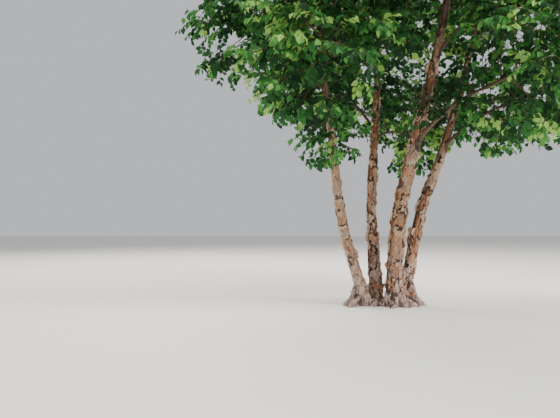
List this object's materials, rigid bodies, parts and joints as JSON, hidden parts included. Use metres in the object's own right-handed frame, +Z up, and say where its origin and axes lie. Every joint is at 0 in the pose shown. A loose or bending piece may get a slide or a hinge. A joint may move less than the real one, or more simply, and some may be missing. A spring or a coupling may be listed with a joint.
{
  "type": "multi-stemmed river birch tree",
  "caption": "Clump-grown birch with peeling salmon and cinnamon bark, several leaning stems from one root crown, and a rounded airy crown in full leaf.",
  "frame": {"origin": "on the ground under the middle of the root crown, at the flat cut under the clump", "axes": "+Z up; +X to the right and +Y away from the viewer, as the picture sees the tree"},
  "size_m": [4.4183, 4.5103, 6.1179],
  "materials": {
    "bark": "rough, peeling in papery curls",
    "young_bark": "smooth, satin",
    "leaves": "satin"
  },
  "bodies": {
    "root": {"bough_back_1": "young_bark", "bough_back_2": "young_bark", "bough_back_3": "young_bark", "bough_left_1": "young_bark", "bough_left_2": "young_bark", "bough_left_3": "young_bark", "bough_left_4": "young_bark", "bough_main_1": "young_bark", "bough_main_2": "young_bark", "bough_main_3": "young_bark", "bough_main_4": "young_bark", "bough_right_1": "young_bark", "bough_right_2": "young_bark", "bough_right_3": "young_bark", "bough_right_4": "young_bark", "bough_right_5": "young_bark", "bough_right_6": "young_bark", "bough_right_7": "young_bark", "foliage_back_1": "leaves", "foliage_back_2": "leaves", "foliage_back_3": "leaves", "foliage_back_top": "leaves", "foliage_inner_1": "leaves", "foliage_inner_2": "leaves", "foliage_inner_3": "leaves", "foliage_inner_4": "leaves", "foliage_inner_5": "leaves", "foliage_left_1": "leaves", "foliage_left_2": "leaves", "foliage_left_3": "leaves", "foliage_left_4": "leaves", "foliage_left_top": "leaves", "foliage_main_1": "leaves", "foliage_main_2": "leaves", "foliage_main_3": "leaves", "foliage_main_4": "leaves", "foliage_main_top": "leaves", "foliage_right_1": "leaves", "foliage_right_2": "leaves", "foliage_right_3": "leaves", "foliage_right_4": "leaves", "foliage_right_5": "leaves", "foliage_right_6": "leaves", "foliage_right_7": "leaves", "foliage_right_top": "leaves", "root_crown": "bark", "stem_back": "bark", "stem_left": "bark", "stem_main": "bark", "stem_right": "bark"}
  },
  "joints": []
}
